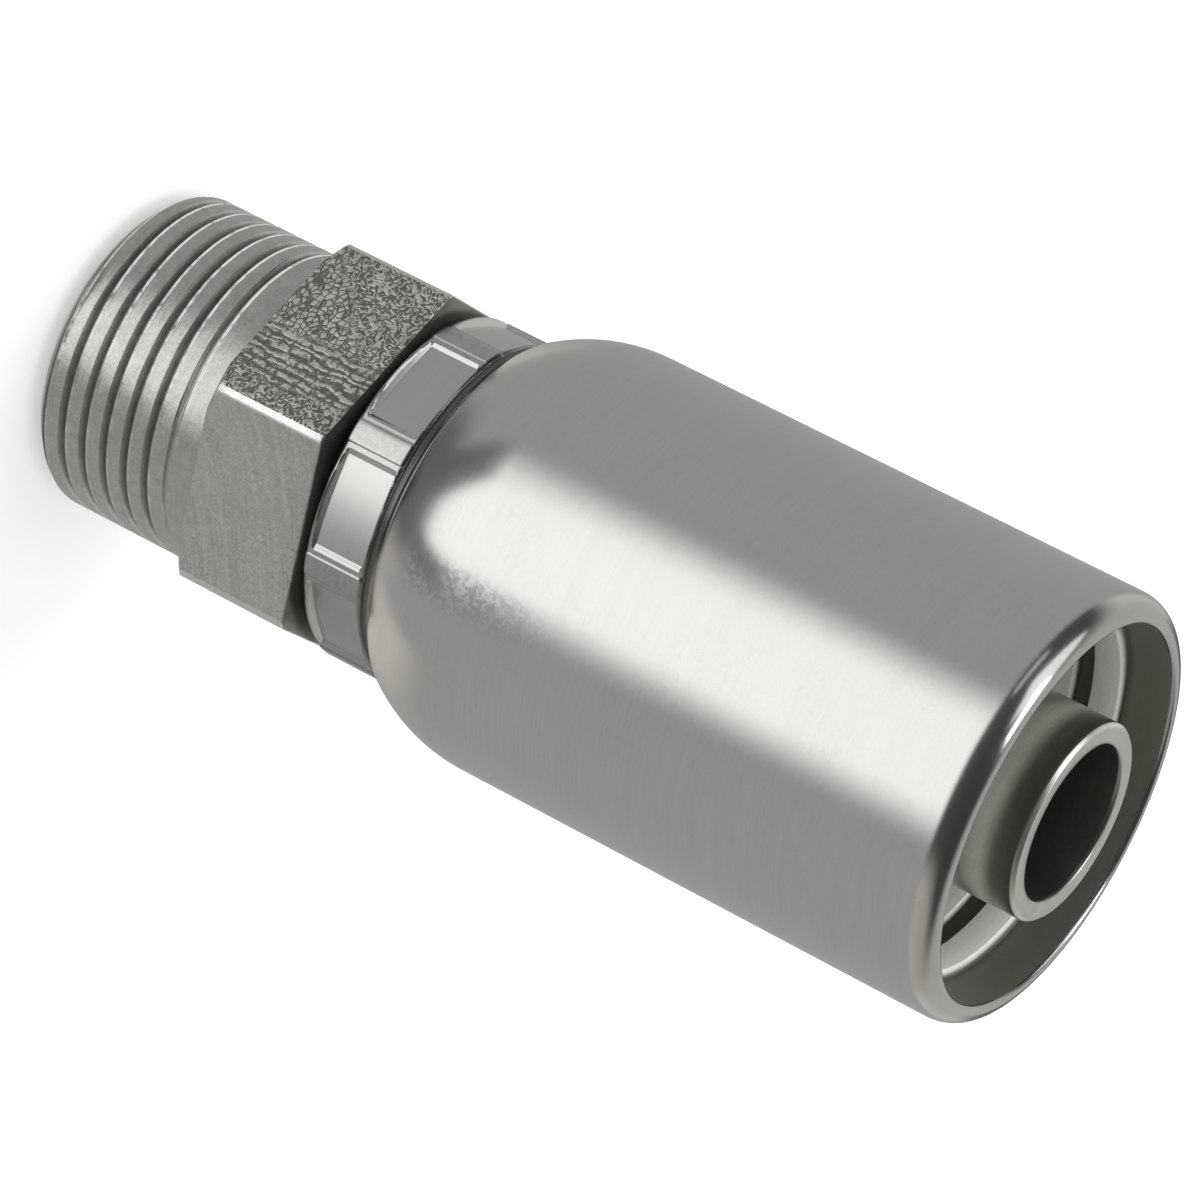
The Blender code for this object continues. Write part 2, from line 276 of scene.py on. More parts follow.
class Rings:
    """Rings of points round Z, bridged with quads into one closed surface.

    The rings run down the outside and back up the bore. Rings of the thread are cut open at the
    back and joined to the ring one pitch above, so that their quads follow the helix.
    """

    def __init__(self, turns):
        self.turns = np.asarray(turns, float)
        self.radii, self.heights, self.materials, self.climbs = [], [], [], []

    def add(self, radius, height, material=0, climb=0):
        ones = np.ones_like(self.turns)
        self.radii.append(radius * ones)
        self.heights.append(height * ones)
        self.materials.append(material)
        self.climbs.append(climb)

    def outline(self, points, material=0):
        for radius, height in points:
            self.add(radius, height, material)

    def following(self, row, column):
        """Index of a point, also for the column after the last."""
        if column < len(self.turns):
            return row * len(self.turns) + column
        return (row - self.climbs[row]) * len(self.turns)

    def piece(self, name, materials, face_material=None):
        radii, heights = np.array(self.radii), np.array(self.heights)
        rows, columns = radii.shape
        points = np.stack(
            [radii * np.sin(self.turns), -radii * np.cos(self.turns), heights], axis=-1
        ).reshape(-1, 3)
        quads, numbers = [], []
        for row in range(rows):
            below = (row + 1) % rows
            for column in range(columns):
                quads.append(
                    (
                        self.following(row, column),
                        self.following(below, column),
                        self.following(below, column + 1),
                        self.following(row, column + 1),
                    )
                )
                number = self.materials[below]
                if face_material:
                    number = face_material(number, self.turns[column])
                numbers.append(number)
        work = bmesh.new()
        corners = [work.verts.new(point) for point in points]
        for quad, number in zip(quads, numbers):
            if len(set(quad)) == 4:
                work.faces.new([corners[index] for index in quad]).material_index = number
            elif len(set(quad)) == 3:
                used = [corners[index] for index in dict.fromkeys(quad)]
                work.faces.new(used).material_index = number
        bmesh.ops.remove_doubles(work, verts=work.verts, dist=MERGE_DISTANCE)
        mesh = bpy.data.meshes.new(name)
        work.to_mesh(mesh)
        work.free()
        for material in materials:
            mesh.materials.append(material)
        mesh.shade_smooth()
        mesh.set_sharp_from_angle(angle=SMOOTH_ANGLE)
        made = bpy.data.objects.new(name, mesh)
        bpy.context.scene.collection.objects.link(made)
        return made


def turns_with(count, extra=()):
    """Evenly spaced turns from -half a turn, with extra ones put in."""
    even = -math.pi + FULL_TURN * np.arange(count) / count
    if not len(extra):
        return even
    extra = (np.asarray(extra) + math.pi) % FULL_TURN - math.pi
    both = np.concatenate([even, extra])
    distance = np.abs(even[:, None] - extra[None, :]).min(axis=1)
    keep = np.concatenate([distance > math.radians(0.2), np.ones(len(extra), bool)])
    return np.unique(np.round(both[keep], 9))


# Shader maths


class Value:
    """A shader socket on which Python's arithmetic adds Math nodes."""

    def __init__(self, nodes, socket):
        self.nodes = nodes
        self.socket = socket

    def math(self, operation, *others, clamp=False):
        operands = dict(enumerate((self, *others)))
        settings = {"operation": operation, "use_clamp": clamp}
        return self.nodes.add("ShaderNodeMath", settings, operands)

    def __add__(self, other):
        return self.math("ADD", other)

    def __radd__(self, other):
        return self.math("ADD", other)

    def __sub__(self, other):
        return self.math("SUBTRACT", other)

    def __rsub__(self, other):
        settings = {"operation": "SUBTRACT"}
        return self.nodes.add("ShaderNodeMath", settings, {0: other, 1: self})

    def __mul__(self, other):
        return self.math("MULTIPLY", other)

    def __rmul__(self, other):
        return self.math("MULTIPLY", other)

    def __truediv__(self, other):
        return self.math("DIVIDE", other)

    def __neg__(self):
        return self.math("MULTIPLY", -1.0)

    def __abs__(self):
        return self.math("ABSOLUTE")


class Nodes:
    """Adds nodes to one node tree: their settings first, then the values or links of sockets."""

    def __init__(self, tree):
        self.tree = tree
        tree.nodes.clear()

    def add(self, kind, settings=None, sockets=None, output=0):
        node = self.tree.nodes.new(kind)
        for name, value in (settings or {}).items():
            setattr(node, name, value)
        for key, value in (sockets or {}).items():
            if isinstance(value, Value):
                self.tree.links.new(value.socket, node.inputs[key])
            else:
                node.inputs[key].default_value = value
        return Value(self, node.outputs[output]) if node.outputs else node

    def split(self, vector):
        """The three parts of a vector."""
        parts = self.add("ShaderNodeSeparateXYZ", None, {0: vector}).socket.node
        return [Value(self, output) for output in parts.outputs]

    def join(self, x, y, z):
        return self.add("ShaderNodeCombineXYZ", None, {0: x, 1: y, 2: z})

    def rise(self, value, low, high):
        """0 below low, 1 above high and smooth in between."""
        settings = {"interpolation_type": "SMOOTHSTEP", "clamp": True}
        sockets = {"Value": value, "From Min": low, "From Max": high}
        return self.add("ShaderNodeMapRange", settings, sockets)

    def band(self, value, low, full, fade, high):
        """1 between full and fade, 0 outside low and high."""
        return self.rise(value, low, full) * (1.0 - self.rise(value, fade, high))

    def blend(self, amount, first, second):
        """A mix of two colours."""
        settings = {"data_type": "RGBA", "clamp_factor": True}
        return self.add("ShaderNodeMix", settings, {0: amount, 6: first, 7: second}, output=2)

    def noise(self, vector, scale, detail=2.0, roughness=0.5, distortion=0.0):
        sockets = {
            "Vector": vector,
            "Scale": scale,
            "Detail": detail,
            "Roughness": roughness,
            "Distortion": distortion,
        }
        return self.add("ShaderNodeTexNoise", None, sockets)

    def bump(self, height, distance):
        return self.add("ShaderNodeBump", None, {"Height": height, "Distance": distance, "Strength": 1.0})


def rgba(shade, gain=1.0):
    return (*(channel * gain for channel in shade), 1.0)


def position(nodes):
    """The place of a shaded point in millimetres, and its three parts."""
    place = nodes.add("ShaderNodeTexCoord", None, None, output="Object")
    scaled = nodes.add("ShaderNodeVectorMath", {"operation": "SCALE"}, {0: place, "Scale": 1000.0})
    return scaled, nodes.split(scaled)


def round_the_axis(nodes, parts, round_scale, along_scale):
    """A vector for noise that is drawn out round the axis."""
    x, y, z = parts
    return nodes.join(x * round_scale, y * round_scale, z * along_scale)


def radius_of(nodes, parts):
    """Distance from the axis in millimetres."""
    flat = nodes.join(parts[0], parts[1], 0.0)
    return nodes.add("ShaderNodeVectorMath", {"operation": "LENGTH"}, {0: flat}, output=1)


def toned(nodes, shade, tone):
    """A colour made lighter or darker by a varying tone."""
    return nodes.add("ShaderNodeVectorMath", {"operation": "SCALE"}, {0: tuple(shade), "Scale": tone})


def surface(name, sockets_of):
    """A material whose Principled sockets come from a function of its nodes."""
    material = bpy.data.materials.new(name)
    material.use_nodes = True
    nodes = Nodes(material.node_tree)
    shader = nodes.add("ShaderNodeBsdfPrincipled", None, sockets_of(nodes))
    nodes.add("ShaderNodeOutputMaterial", None, {"Surface": shader})
    return material


def turned_shell(finish):
    """Bright zinc over a finely turned surface, with fine rings, dull clouds and a few scuffs. It has
    painted shade on the collar's +X side, in the groove below the dome, on the face by the hexagon and on
    the lip, and a bluish mottled patch in front above the collar that is partly stain and partly painted
    dark reflection.
    """

    def sockets(nodes):
        place, parts = position(nodes)
        fine = nodes.noise(round_the_axis(nodes, parts, 0.12, 7.0), 1.0, 3.0, 0.65)
        broad = nodes.noise(round_the_axis(nodes, parts, 0.1, 0.9), 1.0, 2.0)
        cloud = nodes.noise(place, 0.24, 4.0, 0.6)
        speck = nodes.noise(place, 2.4, 4.0, 0.72)
        grain = nodes.noise(place, 9.0, 2.0, 0.6)
        scuff = nodes.noise(round_the_axis(nodes, parts, 2.2, 0.16), 1.0, 2.0, 0.5, 0.4)
        scuffed = nodes.rise(scuff, 0.68, 0.76) * nodes.rise(cloud, 0.5, 0.62)
        # A bluish mottled patch in front, above the collar: partly stain, partly painted dark reflection
        # of the band beside the highlight.
        side = parts[0] / parts[1]
        reflected_band_patch = nodes.band(-side, 0.2, 0.28, 0.33, 0.5)
        near_collar = nodes.band(parts[2], 28.5, 30.5, 33.0, 42.0)
        stain_and_reflection = nodes.rise(speck, 0.42, 0.58) * near_collar * reflected_band_patch * nodes.rise(-parts[1], 0.0, 4.0)
        dull = nodes.rise(cloud, 0.46, 0.7) * nodes.rise(speck, 0.46, 0.66)
        on_collar = 1.0 - nodes.rise(parts[2], 26.2, 26.5)
        raised = on_collar * nodes.rise(radius_of(nodes, parts), 11.14, 11.24)
        # Painted shade: darker in the groove below the dome, on the face by the hexagon and on the lip.
        painted_groove_shade = nodes.band(parts[2], 25.75, 26.0, 26.9, 27.2)
        painted_hexagon_face_shade = 1.0 - nodes.rise(parts[2], 21.95, 22.15)
        painted_lip_shade = nodes.rise(parts[2], 66.8, 67.9)
        # Painted shade: the collar is darker on its +X side.
        painted_side_shade = on_collar * nodes.rise(parts[0], 5.0, 9.0)
        tone = 0.9 + 0.1 * fine + 0.06 * broad - 0.03 * dull + 0.1 * (grain - 0.5)
        tone = tone * (1.0 - raised * (0.08 + 0.5 * (speck - 0.35))) * (1.0 - 0.24 * painted_side_shade)
        # Painted shade in the groove, on the face by the hexagon and on the lip.
        tone = tone * (1.0 - 0.5 * painted_groove_shade - 0.5 * painted_hexagon_face_shade - 0.3 * painted_lip_shade)
        shade = toned(nodes, finish.shell_color, tone)
        # Partly stain, partly painted dark reflection: the bluish patch.
        with_stain_and_reflection = nodes.blend(0.6 * stain_and_reflection, shade, rgba(finish.stain_and_reflection_color))
        rough = finish.shell_roughness - 0.04 + 0.06 * fine + 0.025 * dull + 0.06 * scuffed
        height = fine + 0.5 * scuffed + 1.5 * stain_and_reflection
        return {
            "Base Color": with_stain_and_reflection,
            "Metallic": 1.0,
            "Roughness": rough + 0.07 * stain_and_reflection + 0.05 * on_collar,
            "Normal": nodes.bump(height, 0.0007 * MM),
            "Anisotropic": finish.turned_grain,
            "Anisotropic Rotation": 0.25,
        }

    return surface("turned_shell", sockets)


def plated_thread(finish, sizes):
    """Zinc over a cut thread, rougher and darker in its grooves, the darkening being painted shade, with
    bright lines along the crests' edges that are painted highlights, mostly on the -X side.
    """

    def sockets(nodes):
        place, parts = position(nodes)
        x, y, z = parts
        pitch, top = sizes.thread_pitch / MM, (sizes.hex_bottom - sizes.thread_end) / MM
        pitches = (top - z) / pitch + x.math("ARCTAN2", -y) / FULL_TURN + 0.5
        phase = pitches.math("FRACT")
        chatter = nodes.noise(place, 1.3, 3.0, 0.65)
        from_edge = abs(phase - 0.52 + 0.06 * (chatter - 0.5))
        # Painted highlights: bright lines along the crests' edges, strongest on the -X side.
        wear_and_highlight = (1.0 - nodes.rise(from_edge, 0.04, 0.075)) * nodes.rise(pitches, 0.2, 0.5)
        wear_and_highlight = wear_and_highlight * nodes.rise(chatter - 0.012 * x, 0.36, 0.6) * (1.0 - 0.8 * nodes.rise(x, 0.5, 3.0))
        # Painted shade: the thread's grooves are darker; they are also rougher.
        deep = 1.0 - nodes.rise(radius_of(nodes, parts), 9.85, 10.22)
        fine = nodes.noise(round_the_axis(nodes, parts, 0.35, 9.0), 1.0, 3.0, 0.7)
        drag = nodes.noise(nodes.join(x * 0.5, y * 0.5, z * 3.4), 1.0, 2.0, 0.6)
        grain = nodes.noise(place, 5.0, 4.0, 0.7)
        tone = 0.82 + 0.24 * fine - 0.3 * deep + 0.5 * (grain - 0.5) + 0.4 * (chatter - 0.5)
        plain = toned(nodes, finish.thread_color, tone)
        return {
            "Base Color": nodes.blend(0.95 * wear_and_highlight, plain, rgba(finish.wear_and_highlight_color)),
            "Metallic": 0.9 - 0.8 * wear_and_highlight,
            "Roughness": finish.thread_roughness - 0.05 + 0.1 * fine + 0.1 * deep,
            "Normal": nodes.bump(0.7 * fine + 0.8 * grain + 1.4 * drag + 1.4 * chatter, 0.009 * MM),
            "Anisotropic": finish.turned_grain,
            "Anisotropic Rotation": 0.25,
        }

    return surface("plated_thread", sockets)


def satin_hexagon(finish):
    """Zinc over drawn bar: a fine satin grain, faint arcs of the tool and bright worn corners."""

    def sockets(nodes):
        place, parts = position(nodes)
        x, y, z = parts
        grain = nodes.noise(place, 4.6, 5.0, 0.8)
        cloud = nodes.noise(place, 0.5, 3.0, 0.6)
        drawn = nodes.noise(nodes.join(x * 3.0, y * 3.0, z * 0.3), 1.0, 3.0, 0.6)
        sweep = nodes.add(
            "ShaderNodeVectorMath",
            {"operation": "DISTANCE"},
            {0: nodes.join(x, y, z * 1.6), 1: (16.0, 2.0, 6.0)},
            output=1,
        )
        arcs = nodes.noise(nodes.join(sweep * 2.6, cloud * 1.2, 0.0), 1.0, 2.0, 0.6)
        wear_and_highlight = nodes.rise(radius_of(nodes, parts) + 0.05 * (grain - 0.5), 12.6, 12.66)
        tone = 0.85 + 1.15 * (grain - 0.5) + 0.1 * cloud + 0.08 * drawn + 0.36 * (arcs - 0.5)
        plain = toned(nodes, finish.hexagon_color, tone)
        rough = finish.hexagon_roughness - 0.06 + 0.12 * grain
        return {
            "Base Color": nodes.blend(wear_and_highlight, plain, rgba(finish.wear_and_highlight_color)),
            "Metallic": 1.0,
            "Roughness": rough * (1.0 - 0.45 * wear_and_highlight),
            "Normal": nodes.bump(grain + 0.4 * drawn + 0.8 * arcs, 0.025 * MM),
        }

    return surface("satin_hexagon", sockets)


def forged_face(finish):
    """The faces that keep their forged skin: pebbles, winding ridges and lines drawn by the rolls."""

    def sockets(nodes):
        place, parts = position(nodes)
        x, y, z = parts
        across = 6.41 - 0.866 * x + 0.5 * y
        flat = nodes.join(across, z, 0.0)
        bent = nodes.noise(flat, 0.9, 2.0, 0.5)
        cells = nodes.add(
            "ShaderNodeTexVoronoi",
            {"feature": "DISTANCE_TO_EDGE"},
            {
                "Vector": nodes.join(across * 0.85 + 0.6 * bent, z + 0.5 * bent, 0.0),
                "Scale": 2.7,
                "Randomness": 0.7,
            },
        )
        pebbles = nodes.rise(cells, 0.02, 0.17)
        winding = nodes.noise(flat, 1.9, 1.0, 0.5, 0.35)
        worms = 0.5 + 0.5 * (winding * (FULL_TURN * 4.2)).math("SINE")
        sway = nodes.noise(nodes.join(across * 0.9, z * 0.4, 2.0), 1.0, 3.0, 0.6)
        lines = 0.5 + 0.5 * ((across / 0.56 + 3.0 * sway) * FULL_TURN).math("SINE")
        notch = nodes.noise(nodes.join(across * 1.8, z * 2.6, 4.0), 1.0, 2.0, 0.6)
        lines = lines * (1.0 - 0.75 * nodes.rise(notch, 0.52, 0.6))
        patch = nodes.noise(flat, 0.35, 2.0, 0.5)
        wander = 3.0 * (patch - 0.5)
        drawn_side = nodes.band(across + wander, 1.6, 2.6, 5.2, 6.4)
        before_corner = 1.0 - nodes.rise(across + z + 2 * wander, 24.5, 27.0)
        pebbled = nodes.rise(across + wander, 5.4, 6.4) * before_corner
        skin = worms + (pebbles - worms) * pebbled
        skin = skin + (lines - skin) * drawn_side
        fine = nodes.noise(place, 4.2, 4.0, 0.7)
        high = nodes.rise(skin * 0.75 + 1.1 * (fine - 0.5) + 0.12, 0.1, 0.9)
        cloud = nodes.noise(place, 0.5, 3.0, 0.6)
        shade = nodes.blend(
            high * (0.52 + 0.6 * cloud), rgba(finish.forged_color), rgba(finish.ridge_color)
        )
        return {
            "Base Color": shade,
            "Metallic": 1.0,
            "Roughness": 0.52 - 0.1 * high,
            "Normal": nodes.bump(skin * 0.8 + 0.5 * fine, 0.06 * MM),
        }

    return surface("forged_face", sockets)


def turned_tail(finish):
    """Zinc over the turned tail and neck, with painted shade inside the bore, under the collar and at the
    tail's end, and painted light on the rest of its outer round, less on the +X side.
    """

    def sockets(nodes):
        place, parts = position(nodes)
        fine = nodes.noise(round_the_axis(nodes, parts, 0.3, 8.0), 1.0, 3.0, 0.65)
        grain = nodes.noise(place, 6.0, 3.0, 0.6)
        cloud = nodes.noise(place, 0.5, 3.0, 0.6)
        # Painted shade: darker inside the bore.
        outside = nodes.rise(radius_of(nodes, parts), 4.98, 5.1)
        # Painted shade: the neck, shoulder and hexagon's top face inside the collar are darker.
        collar_shade_zone = 1.0 - nodes.rise(parts[2], 29.0, 32.0)
        tone = (0.72 + 0.18 * fine + 0.2 * (grain - 0.5) + 0.2 * (cloud - 0.5)) * (0.55 + 0.45 * outside)
        tone = tone * (1.0 - 0.5 * collar_shade_zone * outside * nodes.rise(parts[2], 14.0, 16.0))
        # Painted light and shade on the tail's outer round: lighter overall, darker towards its end, less
        # light on its +X side.
        near_end = nodes.band(parts[2], 66.3, 67.5, 68.5, 68.85)
        lit_and_shaded_round = nodes.rise(radius_of(nodes, parts), 6.0, 6.2) * (1.0 - collar_shade_zone)
        right = nodes.rise(parts[0], 0.0, 4.0) * (1.0 - near_end)
        tone = tone * (1.0 + lit_and_shaded_round * (0.65 - 1.17 * near_end - 0.35 * right))
        return {
            "Base Color": toned(nodes, finish.tail_color, tone),
            "Metallic": 0.97,
            "Roughness": finish.tail_roughness - 0.05 + 0.1 * fine,
            "Normal": nodes.bump(fine + 0.5 * grain, 0.003 * MM),
        }

    return surface("turned_tail", sockets)


def ringed_bore(finish):
    """Inside of the shell: satin zinc on the rings, lighter on the +X side as painted light, and painted
    shade in the grooves between them, lighter near the mouth as painted light.
    """

    def sockets(nodes):
        place, parts = position(nodes)
        groove = nodes.rise(radius_of(nodes, parts), 11.5, 12.0)
        fine = nodes.noise(round_the_axis(nodes, parts, 0.3, 6.0), 1.0, 3.0, 0.65)
        grain = nodes.noise(place, 5.0, 3.0, 0.65)
        mouth_light = nodes.rise(parts[2], 64.6, 65.4)
        # Painted light: the rings are lighter on the +X side.
        tone = 0.86 + 0.14 * nodes.rise(parts[0], -2.0, 6.0) + 0.2 * (fine - 0.5) + 0.2 * (grain - 0.5)
        land = toned(nodes, finish.land_color, tone)
        # Painted shade in the bore's grooves, with painted light near the mouth.
        hollow = toned(nodes, finish.hollow_shade_color, 0.85 + 0.3 * fine + 0.8 * mouth_light)
        return {
            "Base Color": nodes.blend(groove, land, hollow),
            "Metallic": 0.08 + 0.75 * groove,
            "Roughness": 0.42 + 0.1 * fine,
            "Normal": nodes.bump(fine + 0.5 * grain, 0.004 * MM),
        }

    return surface("ringed_bore", sockets)


def nitrile_rubber(finish):
    """Black moulded rubber with a faint bloom."""

    def sockets(nodes):
        place = position(nodes)[0]
        bloom = nodes.noise(place, 1.6, 4.0, 0.6)
        grain = nodes.noise(place, 16.0, 2.0)
        shade = nodes.blend(
            nodes.rise(bloom, 0.4, 0.75), rgba(finish.rubber_color), rgba(finish.rubber_color, 2.2)
        )
        return {
            "Base Color": shade,
            "Roughness": finish.rubber_roughness - 0.06 + 0.14 * bloom,
            "Normal": nodes.bump(grain, 0.004 * MM),
        }

    return surface("nitrile_rubber", sockets)


# Stem


def hexagon_radius(turns, sizes):
    """The hexagon's outline, a corner at the front, with a narrow land turned on each corner."""
    flat_radius = stem_high.x
    from_corner = (turns + math.pi / 6) % (math.pi / 3) - math.pi / 6
    flats = flat_radius / np.cos(math.pi / 6 - np.abs(from_corner))
    corner = flat_radius / math.cos(math.pi / 6)
    lands = (corner - sizes.corner_land) / np.cos(from_corner)
    return np.minimum(np.minimum(flats, lands), stem_high.y)


def thread_rings(rings, sizes, top, bottom, material):
    """Rings that climb one pitch in each turn, with broad crests and shallow sloping grooves.

    The groove's middle is at three quarters of each pitch. It ends on the right, at the height top,
    where it rises out of the metal.
    """
    half = (1 - sizes.thread_land) / 2
    flank = (0.95, 0.8, 0.56, 0.33, 0.22, 0.14)
    flank_depths = (0.02, 0.2, 0.58, 0.88, 0.99, 1.0)
    wall = [(0.75 - half * share, depth) for share, depth in zip(flank, flank_depths)]
    wall += [(0.75 + half * share, depth) for share, depth in zip(flank[::-1], flank_depths[::-1])]
    crest = [(0.0, 0.0), (0.18, 0.0), (0.36, 0.0), (0.75 - half * 1.06, 0.0)]
    rows = [*crest, *wall, (0.75 + half * 1.06, 0.0)]
    pitch = sizes.thread_pitch
    before = sum(phase > 0.7 for phase, depth in rows)
    limit = top + (1 - rows[-before][0]) * pitch
    rise = pitch * (rings.turns + math.pi) / FULL_TURN
    root = sizes.thread_radius - sizes.face_chamfer
    pitches = math.ceil((top - bottom) / pitch) + 1
    for index in range(-before, pitches * len(rows) + 1):
        number = index // len(rows)
        phase, depth = rows[index % len(rows)]
        height = np.clip(top - (number + phase) * pitch + rise, bottom, limit)
        turns_left = number + 0.25 - rings.turns / FULL_TURN
        run_out = np.clip(1 - turns_left / sizes.thread_run_out, 0.0, 1.0)
        lift = run_out**2 * (sizes.thread_depth + sizes.edge)
        groove = np.maximum(sizes.thread_depth * depth - lift, 0.0)
        groove = groove * np.clip((limit - height) / (0.1 * MM), 0.0, 1.0)
        chamfer = root + (height - stem_low.z)
        radius = np.minimum(sizes.thread_radius - groove, chamfer)
        rings.add(radius, height, material, climb=min(index + before, len(rows)))


def stem_rings(sizes):
    """All the stem's rings, from the tail's end down the outside and back up the bore."""
    corners = [k * math.pi / 3 for k in range(6)]
    land = math.radians(0.85)
    near = [-1.1, -1.03, -1.0, -0.9, 0.0, 0.9, 1.0, 1.03, 1.1]
    extra = [corner + land * share for corner in corners for share in near]
    rings = Rings(turns_with(240, extra))
    thread, satin, tail = 0, 1, 3
    edge = sizes.edge
    top, face = stem_high.z, stem_low.z
    shoulder_top = sizes.shoulder_bottom + sizes.shoulder_length
    hex_top = sizes.hex_bottom + sizes.hex_length
    barbs = []
    height = top - sizes.tail_plain
    while height - sizes.barb_pitch > shoulder_top + 4.5 * MM:
        barbs.append((sizes.tail_radius, height, 0.3 * MM))
        height -= sizes.barb_pitch
        crest = (sizes.tail_radius + sizes.barb_height, height + 0.2 * MM, 0.05 * MM)
        barbs.append(crest)
    rings.outline(
        fillet(
            [
                (sizes.bore_radius + 0.25 * MM, top),
                (sizes.tail_radius - sizes.tail_chamfer, top, 0.06 * MM),
                (sizes.tail_radius, top - sizes.tail_chamfer, 0.1 * MM),
                *[(sizes.tail_radius, top - 0.5 * MM - k * 1.4 * MM) for k in range(5)],
                *barbs,
                (sizes.tail_radius, height),
                (sizes.tail_radius, shoulder_top, 0.15 * MM),
                (sizes.shoulder_radius, shoulder_top, edge),
                (sizes.shoulder_radius, sizes.shoulder_bottom, edge),
                (sizes.neck_radius, sizes.shoulder_bottom, edge),
                (sizes.neck_radius, hex_top, edge),
                (sizes.neck_radius + 0.6 * MM, hex_top),
            ]
        ),
        tail,
    )
    hexagon = hexagon_radius(rings.turns, sizes)
    blank = stem_high.y
    chamfer_start = blank - sizes.hex_chamfer
    slope = math.tan(math.radians(30))
    lift = np.maximum(hexagon - chamfer_start, 0.0) * slope
    rings.add(hexagon - 0.09 * MM, hex_top, tail)
    for inset, drop in ((0.045, 0.012), (0.012, 0.045), (0.0, 0.09)):
        rings.add(hexagon - inset * MM, hex_top - drop * MM, satin)
    low_edge = sizes.hex_bottom + lift
    for share in (0.15, 0.35, 0.6, 0.85):
        rings.add(hexagon, (hex_top - 0.09 * MM) * (1 - share) + (low_edge + 0.09 * MM) * share, satin)
    rings.add(hexagon, low_edge + 0.06 * MM, satin)
    rings.add(hexagon - 0.015 * MM, low_edge + 0.02 * MM, satin)
    rings.add(hexagon - 0.045 * MM, low_edge + 0.0 * MM - 0.008 * MM * (lift > 0), satin)
    inner = np.minimum(hexagon - 0.06 * MM, chamfer_start)
    rings.add(inner, sizes.hex_bottom, satin)
    rings.add(sizes.thread_radius + 0.5 * MM, sizes.hex_bottom, satin)
    rings.outline(
        arc(
            (sizes.thread_radius + 0.12 * MM, sizes.hex_bottom - 0.12 * MM),
            0.12 * MM,
            math.pi / 2,
            math.pi,
            3,
        ),
        satin,
    )
    thread_top = sizes.hex_bottom - sizes.thread_end
    for height in spread(sizes.hex_bottom - 0.12 * MM, thread_top + 0.4 * MM, 4):
        rings.add(sizes.thread_radius, height, thread)
    thread_rings(rings, sizes, thread_top, face + 0.2 * MM, thread)
    root = sizes.thread_radius - sizes.face_chamfer
    outer, inner = sizes.groove_outer, sizes.groove_inner
    depth = face + sizes.groove_depth
    rings.outline(
        fillet(
            [
                (root + 0.1 * MM, face + 0.1 * MM),
                (root, face, 0.05 * MM),
                (outer, face, 0.06 * MM),
                (outer, depth, 0.1 * MM),
                (inner, depth, 0.1 * MM),
                (inner, face, 0.06 * MM),
                (sizes.bore_radius + 0.25 * MM, face, 0.04 * MM),
                (sizes.bore_radius, face + 0.25 * MM, 0.04 * MM),
                *[(sizes.bore_radius, face + 8 * MM * k) for k in range(1, 8)],
                (sizes.bore_radius, top - 0.3 * MM),
                (sizes.bore_radius + 0.03 * MM, top - 0.12 * MM),
                (sizes.bore_radius + 0.1 * MM, top - 0.04 * MM),
            ]
        ),
        tail,
    )
    return rings


def forged_on_two_faces(number, turn):
    """The hexagon's face up on the left of the front, and the one opposite, keep their forged skin."""
    if number != 1:
        return number
    middle = math.radians(-30)
    away = abs((turn - middle + math.pi / 2) % math.pi - math.pi / 2)
    return 2 if away < math.radians(29.2) else 1


# Shell


def collar_radius_at(turns, height, sizes):
    """Radius of the collar, with a shallow curved floor pressed by each die and a rib between."""
    pitch = FULL_TURN / sizes.jaw_count
    away = np.abs((turns - sizes.jaw_turn + pitch / 2) % pitch - pitch / 2)
    half = sizes.jaw_width / 2
    radius = sizes.collar_radius
    floor = (radius - sizes.jaw_depth) * (1 + 0.55 * np.minimum(away, half) ** 2 / 2)
    beyond = np.maximum(away - half, 0.0) * radius
    middle = shell_low.z + sizes.collar_length / 2
    past_end = max(abs(height - middle) - sizes.jaw_length / 2, 0.0)
    pressed = floor + beyond * math.tan(math.radians(42)) + past_end * math.tan(math.radians(62))
    from_rib = pitch / 2 - away
    on_rib = np.clip((sizes.rib_width / 2 - from_rib) / math.radians(0.45) + 0.5, 0.0, 1.0)
    beside = radius - sizes.rib_step * (1 - on_rib * on_rib * (3 - 2 * on_rib))
    soft = 0.025 * MM
    share = np.clip(0.5 + (beside - pressed) / (2 * soft), 0.0, 1.0)
    return beside * (1 - share) + pressed * share - soft * share * (1 - share)


